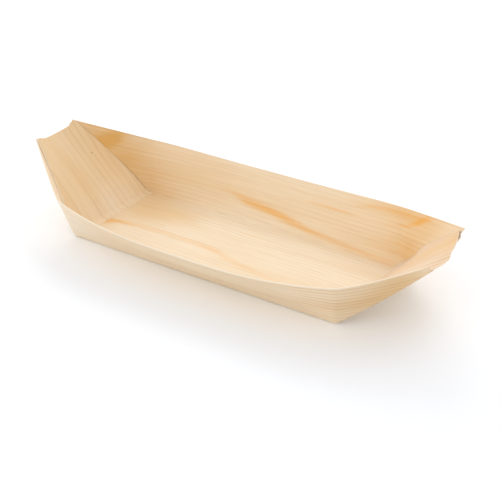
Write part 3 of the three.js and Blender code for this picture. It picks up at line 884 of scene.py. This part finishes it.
def add_node(tree, kind, settings=None, **inputs):
    """New node with settings on itself and values or links on its inputs; i0, i1 count the inputs."""
    node = tree.nodes.new(kind)
    for key, value in (settings or {}).items():
        setattr(node, key, value)
    for key, value in inputs.items():
        counted = key[0] == "i" and key[1:].isdigit()
        connect(tree, value, node.inputs[int(key[1:]) if counted else key.replace("_", " ")])
    return node


def calc(tree, operation, *values):
    """Arithmetic on one to three values."""
    inputs = {f"i{number}": value for number, value in enumerate(values)}
    return add_node(tree, "ShaderNodeMath", {"operation": operation}, **inputs).outputs[0]


def ramp(tree, value, low, high):
    """Smooth change from 0 at low to 1 at high."""
    settings = {"interpolation_type": "SMOOTHSTEP"}
    return add_node(tree, "ShaderNodeMapRange", settings, Value=value, From_Min=low, From_Max=high).outputs[0]


def tint(tree, base, colour, amount):
    """Lays a colour over a base by an amount."""
    node = add_node(tree, "ShaderNodeMix", {"data_type": "RGBA"}, i0=amount, i6=base, i7=colour)
    return node.outputs[2]


print(f"middle grey on screen is {srgb(128, 128, 128)[0]:.3f} in linear light")

# %% [markdown]
# Wood grain comes from stretched noise. The material reads the flat sheet's own coordinates, so the grain
# bends with every fold, as it does on the real dish. Year rings are waves across the grain, bent a little by
# slow noise so that no two run alike. A picture of wood could be used instead, but nodes stay sharp close up
# and need no file.

# %% Grain helpers
# A noise is given as: waves per metre along the grain and across it, then its detail
SWAY_NOISE = (9, 26, 1)
RING_FADE_NOISE = (14, 120, 1)
SWAY = 6 * MM
SEED_SHARE = 3
RING_FADE = (0.3, 0.65)
RING_SHARPNESS = 4.0
HALF = 0.5


def mark(tree, attribute, output="Fac"):
    """One of the piece's vertex attributes."""
    return add_node(tree, "ShaderNodeAttribute", {"attribute_name": attribute}).outputs[output]


def drawn_out(tree, vector, noise):
    """Noise stretched along the grain by its two scales."""
    along, across, detail = noise
    scales = (along, across, 1)
    scaled = add_node(tree, "ShaderNodeVectorMath", {"operation": "MULTIPLY"}, i0=vector, i1=scales)
    stretched = add_node(tree, "ShaderNodeTexNoise", Vector=scaled.outputs[0], Scale=1.0, Detail=detail)
    return stretched.outputs["Fac"]


def grain_place(tree, turn, seed):
    """Place on the flat sheet, turned, moved by the seed and swayed across by slow noise."""
    shift, turns = (seed, seed / SEED_SHARE, 0), (0, 0, turn)
    sheet = mark(tree, "sheet", "Vector")
    turned = add_node(tree, "ShaderNodeMapping", Vector=sheet, Location=shift, Rotation=turns).outputs[0]
    swayed = calc(tree, "MULTIPLY", drawn_out(tree, turned, SWAY_NOISE), SWAY)
    sway = add_node(tree, "ShaderNodeCombineXYZ", Y=swayed).outputs[0]
    return add_node(tree, "ShaderNodeVectorMath", {"operation": "ADD"}, i0=turned, i1=sway).outputs[0]


def year_rings(tree, grain, ring_gap):
    """(0.5 + 0.5 sin(2 pi r / gap))^4, r being the place across the grain; fades in and out along it."""
    across = add_node(tree, "ShaderNodeSeparateXYZ", Vector=grain).outputs["Y"]
    wave = calc(tree, "SINE", calc(tree, "MULTIPLY", across, 2 * np.pi / ring_gap))
    ring = calc(tree, "POWER", calc(tree, "MULTIPLY_ADD", wave, HALF, HALF), RING_SHARPNESS)
    return calc(tree, "MULTIPLY", ring, ramp(tree, drawn_out(tree, grain, RING_FADE_NOISE), *RING_FADE))


print(f"year rings sway by up to {SWAY / MM:.0f} mm")

# %% [markdown]
# The colour is laid on in coats: pale wood, pale places of painted light, tan bands, tan places partly of
# painted shade, year rings, fibres, fine lines and resin.
# Each coat covers the last by a share that one of the patterns gives. Light and dark are kept close together,
# because freshly sliced pine is pale and even.

# %% Coats of colour
RING_LINE = srgb(212, 168, 120)
RESIN = srgb(241, 178, 82)
# Tan colour of the grain's bands and of the tan places, which are partly painted shade.
TAN_AND_SHADE = srgb(230, 181, 104)
# Colour of the painted light on the pale places.
PAINTED_LIGHT_COLOUR = srgb(247, 238, 224)
BAND_NOISE, BAND_LIMITS, BAND_SHARE = (7, 75, 2), (0.42, 0.75), 0.2
FIBRE_NOISE, FIBRE_LIMITS, FIBRE_SHARE = (60, 2600, 2), (0.45, 0.8), 0.25
LINE_NOISE, LINE_LIMITS, LINE_SHARE = (16, 800, 2), (0.45, 0.75), 0.17
RESIN_LIMITS, RESIN_SHARE = (0.02, 1.1), 0.85
RING_SHARE = 0.8
BREAK_NOISE = (14, 900, 2)
TAN_AND_SHADE_BREAKS = (0.8, 0.55)
RESIN_BREAKS = (1.2, 0.3)


def wood_colour(tree, grain, fibres, pale, ring_gap):
    """Coats laid over the pale wood, each as base + (coat - base) * share."""
    breaks = drawn_out(tree, grain, BREAK_NOISE)
    bands = ramp(tree, drawn_out(tree, grain, BAND_NOISE), *BAND_LIMITS)
    lines = ramp(tree, drawn_out(tree, grain, LINE_NOISE), *LINE_LIMITS)
    rings = calc(tree, "MULTIPLY", year_rings(tree, grain, ring_gap), mark(tree, "ring_strength"))
    resin = calc(tree, "MULTIPLY", mark(tree, "streak"), calc(tree, "MULTIPLY_ADD", breaks, *RESIN_BREAKS))
    coats = [
        # Pale places of painted light come first.
        (PAINTED_LIGHT_COLOUR, mark(tree, "painted_light"), 1.0),
        (TAN_AND_SHADE, bands, BAND_SHARE),
        # Tan places: the wood's own tan and painted shade.
        (TAN_AND_SHADE, mark(tree, "tan_and_shade"), calc(tree, "MULTIPLY_ADD", breaks, *TAN_AND_SHADE_BREAKS)),
        (RING_LINE, rings, RING_SHARE),
        (RING_LINE, ramp(tree, fibres, *FIBRE_LIMITS), FIBRE_SHARE),
        (RING_LINE, lines, LINE_SHARE),
        (RESIN, ramp(tree, resin, *RESIN_LIMITS), RESIN_SHARE),
    ]
    colour = pale
    for coat, pattern, share in coats:
        colour = tint(tree, colour, coat, calc(tree, "MULTIPLY", pattern, share))
    return colour


print(f"resin covers at most {RESIN_SHARE:.0%} of the wood's own colour")

# %% [markdown]
# Cut edges are painted paler than the faces: partly the clean end wood, partly a painted highlight where
# light catches the rim. The left patch has one dark speck, perhaps a pin knot. The surface is bare and matt,
# and the fibres give it a slight relief.

# %% Veneer material
# Pale end wood with a painted highlight, laid over the cut edges.
PALE_EDGE_AND_HIGHLIGHT = srgb(252, 240, 220)
PALE_EDGE_AND_HIGHLIGHT_SHARE = 0.75
SPECK = srgb(120, 84, 52)
SPECK_RADIUS = (0.2 * MM, 0.45 * MM)
BARE_WOOD_ROUGHNESS = 0.62
BARE_WOOD_SHINE = 0.3
FIBRE_RELIEF = 0.12
FIBRE_DEPTH = 0.2 * MM


def veneer_material(name, pale, ring_gap, turn, seed, speck=None):
    """Bare sliced pine: coats of colour, an optional speck, pale cut edges with a painted highlight and a
    relief of fibres.
    """
    material = bpy.data.materials.new(name)
    material.use_nodes = True
    tree = material.node_tree
    shader = tree.nodes["Principled BSDF"]
    grain = grain_place(tree, turn, seed)
    fibres = drawn_out(tree, grain, FIBRE_NOISE)
    colour = wood_colour(tree, grain, fibres, pale, ring_gap)
    if speck is not None:
        sheet = mark(tree, "sheet", "Vector")
        away = add_node(tree, "ShaderNodeVectorMath", {"operation": "DISTANCE"}, i0=sheet, i1=(*speck, 0))
        colour = tint(tree, SPECK, colour, ramp(tree, away.outputs["Value"], *SPECK_RADIUS))
    colour = tint(tree, colour, PALE_EDGE_AND_HIGHLIGHT, calc(tree, "MULTIPLY", mark(tree, "cut_edge"), PALE_EDGE_AND_HIGHLIGHT_SHARE))
    connect(tree, colour, shader.inputs["Base Color"])
    shader.inputs["Roughness"].default_value = BARE_WOOD_ROUGHNESS
    shader.inputs["Specular IOR Level"].default_value = BARE_WOOD_SHINE
    relief = add_node(tree, "ShaderNodeBump", Height=fibres, Strength=FIBRE_RELIEF, Distance=FIBRE_DEPTH)
    connect(tree, relief.outputs[0], shader.inputs["Normal"])
    print(f"{name}: {len(tree.nodes)} nodes")
    return material


HULL_PALE = srgb(249, 231, 203)
LEFT_PATCH_PALE = srgb(242, 213, 172)
RIGHT_PATCH_PALE = srgb(235, 215, 192)
LEFT_SPECK = (35.5 * MM, 12.5 * MM)
hull_pine = veneer_material("sliced pine", HULL_PALE, ring_gap=2.7 * MM, turn=0.0, seed=0.31)
patch_pine = {
    "left": veneer_material(
        "left lining pine", LEFT_PATCH_PALE, ring_gap=4.7 * MM, turn=0.0, seed=1.7, speck=LEFT_SPECK
    ),
    "right": veneer_material("right lining pine", RIGHT_PATCH_PALE, ring_gap=3.1 * MM, turn=0.12, seed=2.9),
}

# %% [markdown]
# Dried glue is a cloudy, slightly glossy film. It hardly shows, so two close colours mixed by fine noise are
# enough.

# %% Glue material
GLUE_PALE = srgb(236, 226, 200)
GLUE_CLOUD = srgb(214, 196, 158)
GLUE_CLOUDS_PER_METRE = 300.0
GLUE_CLOUD_DETAIL = 3.0
GLUE_ROUGHNESS = 0.4

glue_material = bpy.data.materials.new("dried glue")
glue_material.use_nodes = True
glue_tree = glue_material.node_tree
glue_shader = glue_tree.nodes["Principled BSDF"]
glue_place = add_node(glue_tree, "ShaderNodeTexCoord").outputs["Object"]
glue_noise = add_node(
    glue_tree, "ShaderNodeTexNoise",
    Vector=glue_place, Scale=GLUE_CLOUDS_PER_METRE, Detail=GLUE_CLOUD_DETAIL,
)
glue_colour = tint(glue_tree, GLUE_PALE, GLUE_CLOUD, glue_noise.outputs["Fac"])
connect(glue_tree, glue_colour, glue_shader.inputs["Base Color"])
glue_shader.inputs["Roughness"].default_value = GLUE_ROUGHNESS
print(f"{glue_material.name}: {len(glue_tree.nodes)} nodes")

# %% [markdown]
# Every piece now gets its material, rides on the dish's only body and stands in for the CAD node of the same
# part. The dish has no moving parts, so one body is all there is.

# %% Ride and replace
SLOTS = {"hull_sheet": "pine_veneer", "left_end_patch": "patch_veneer", "right_end_patch": "patch_veneer"}
FINISHES = {
    "hull_sheet": hull_pine,
    "left_end_patch": patch_pine["left"],
    "right_end_patch": patch_pine["right"],
}
for node, piece in pieces.items():
    piece.data.materials.append(FINISHES.get(node, glue_material))
    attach(piece, "root")
    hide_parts(node)
    SLOTS.get(node, "glue")
print(f"{len(pieces)} pieces ride on the root body")

# %% [markdown]
# The camera has the photograph's viewing angle, fitted to the folds and rims: about half a metre away, to the
# front and right, looking down at about thirty degrees. An object's matrix holds its own axes as columns,
# with its place as the last one, so the camera is set from three directions and a point.

# %% Camera
IMAGE_SIZE = 500
FOCAL_PIXELS = 973.8
SENSOR = 36.0
CLOSEST_SEEN = 0.01
CAMERA_TARGET = np.array([5.92, 5.89, 0.0])
CAMERA_DISTANCE = 527.4
CAMERA_AZIMUTH = np.radians(31.52)
CAMERA_ELEVATION = np.radians(31.82)
CAMERA_ROLL = np.radians(-0.38)


def set_up(name, data, place_m, right, up, back):
    """Adds an object that stands at a place, with its axes across, up and backwards given."""
    holder = bpy.data.objects.new(name, data)
    bpy.context.scene.collection.objects.link(holder)
    pose = np.eye(4)
    pose[:3] = np.stack([right, up, back, place_m], 1)
    holder.matrix_world = Matrix(pose.tolist())
    return holder


back = vec(
    np.sin(CAMERA_AZIMUTH) * np.cos(CAMERA_ELEVATION),
    -np.cos(CAMERA_AZIMUTH) * np.cos(CAMERA_ELEVATION),
    np.sin(CAMERA_ELEVATION),
)
level_right = vec(np.cos(CAMERA_AZIMUTH), np.sin(CAMERA_AZIMUTH))
level_up = np.cross(back, level_right)
right = np.cos(CAMERA_ROLL) * level_right + np.sin(CAMERA_ROLL) * level_up
up = np.cos(CAMERA_ROLL) * level_up - np.sin(CAMERA_ROLL) * level_right
stand = (CAMERA_TARGET + CAMERA_DISTANCE * back) * MM
camera_data = bpy.data.cameras.new("camera")
camera_data.sensor_width = SENSOR
camera_data.lens = FOCAL_PIXELS / IMAGE_SIZE * SENSOR
camera_data.clip_start = CLOSEST_SEEN
bpy.context.scene.camera = set_up("camera", camera_data, stand, right, up, back)
print(f"camera lens {camera_data.lens:.1f} mm")

# %% [markdown]
# A pale floor takes the shadow. The camera sees it a little brighter than the light that it throws back, so
# it looks white without lighting the dish from below too much.

# %% Floor
FLOOR_REACH = 3.0
PAPER = (0.9, 0.9, 0.9, 1)
PAPER_ON_CAMERA = (1.03, 1.05, 1.085, 1)

floor_mesh = bpy.data.meshes.new("floor")
floor_corners = FLOOR_REACH * np.array([[-1, -1, 0], [1, -1, 0], [1, 1, 0], [-1, 1, 0]], float)
floor_mesh.from_pydata(floor_corners, [], [(0, 1, 2, 3)])
floor = bpy.data.objects.new("floor", floor_mesh)
bpy.context.scene.collection.objects.link(floor)
floor_material = bpy.data.materials.new("pale floor")
floor_material.use_nodes = True
floor_tree = floor_material.node_tree
to_camera = add_node(floor_tree, "ShaderNodeLightPath").outputs["Is Camera Ray"]
paper = tint(floor_tree, PAPER, PAPER_ON_CAMERA, to_camera)
paper_shader = add_node(floor_tree, "ShaderNodeBsdfDiffuse", Color=paper)
connect(floor_tree, paper_shader.outputs[0], floor_tree.nodes["Material Output"].inputs["Surface"])
floor_mesh.materials.append(floor_material)
floor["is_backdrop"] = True
print(f"floor {2 * FLOOR_REACH:.0f} m wide")

# %% [markdown]
# The light is that of a bright room: a broad window behind on the left, a ceiling lamp above and behind, and
# a fill from the front on the left. The room itself lights everything evenly, and looks white where it is
# seen directly or in a reflection.

# %% Light
ROOM_LIGHT = 0.8
ROOM_SEEN = 1.0
WHITE = (1, 1, 1, 1)


def area_lamp(name, place_m, size, power):
    """Square soft lamp that looks at the middle of the dish."""
    lamp = bpy.data.lights.new(name, "AREA")
    lamp.size = size
    lamp.energy = power
    away = unit(np.array(place_m))
    across = unit(np.cross(UP, away))
    set_up(name, lamp, place_m, across, np.cross(away, across), away)


area_lamp("window", place_m=(-0.6, 0.95, 0.65), size=0.7, power=4.4)
area_lamp("ceiling", place_m=(0.15, 0.84, 1.0), size=0.7, power=2.0)
area_lamp("fill", place_m=(-0.75, -1.0, 0.35), size=0.8, power=3.4)

world = bpy.data.worlds.new("room")
bpy.context.scene.world = world
world.use_nodes = True
world_tree = world.node_tree
path = add_node(world_tree, "ShaderNodeLightPath").outputs
seen = calc(world_tree, "MAXIMUM", path["Is Camera Ray"], path["Is Glossy Ray"])
seen = calc(world_tree, "MAXIMUM", seen, path["Is Transmission Ray"])
strength = add_node(world_tree, "ShaderNodeMapRange", Value=seen, To_Min=ROOM_LIGHT, To_Max=ROOM_SEEN)
background = world_tree.nodes["Background"]
background.inputs["Color"].default_value = WHITE
connect(world_tree, strength.outputs[0], background.inputs["Strength"])
bpy.context.scene.view_settings.view_transform = "Standard"
print(f"{len(bpy.data.lights)} lamps and a room of strength {ROOM_LIGHT}")

# %% [markdown]
# Last, the size of the dressed dish is set beside that of the CAD model in a table, and the dressed one is
# printed. The two should agree within a few millimetres, because looks must not change the size of the part.

visual_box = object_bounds()
sizes = {"cad": [list(corner) for corner in cad_box], "visual": [list(corner) for corner in visual_box]}
print("visual box:", sizes["visual"])
